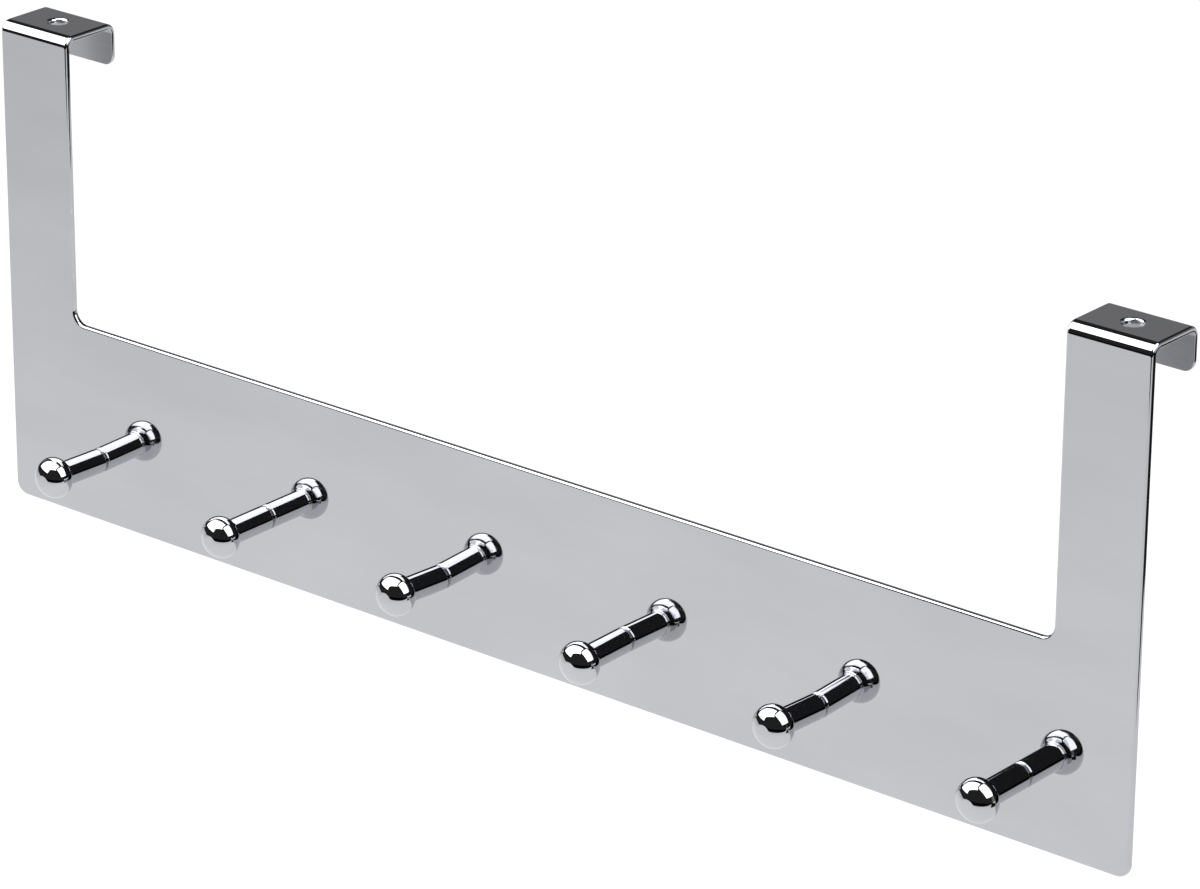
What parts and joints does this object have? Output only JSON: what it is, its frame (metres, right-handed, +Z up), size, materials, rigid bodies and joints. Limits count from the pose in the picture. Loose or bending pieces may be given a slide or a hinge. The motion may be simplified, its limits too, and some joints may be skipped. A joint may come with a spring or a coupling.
{
  "type": "over door hook rail",
  "caption": "Polished hook rail that hangs over a door's top edge: a folded sheet with upright arms, door hooks on top and knobbed pegs along its wide band.",
  "frame": {"origin": "midway between the fixing holes, on the undersides of the hook tops, which rest on the door's top edge", "axes": "+X along the rail, to the right as seen from the front; +Y into the door; +Z up"},
  "size_m": [0.49, 0.0537, 0.18],
  "materials": {
    "rail_chrome": "mirror polished",
    "peg_chrome": "mirror polished"
  },
  "bodies": {
    "root": {"rail": "rail_chrome", "pegs": "peg_chrome"}
  },
  "joints": []
}
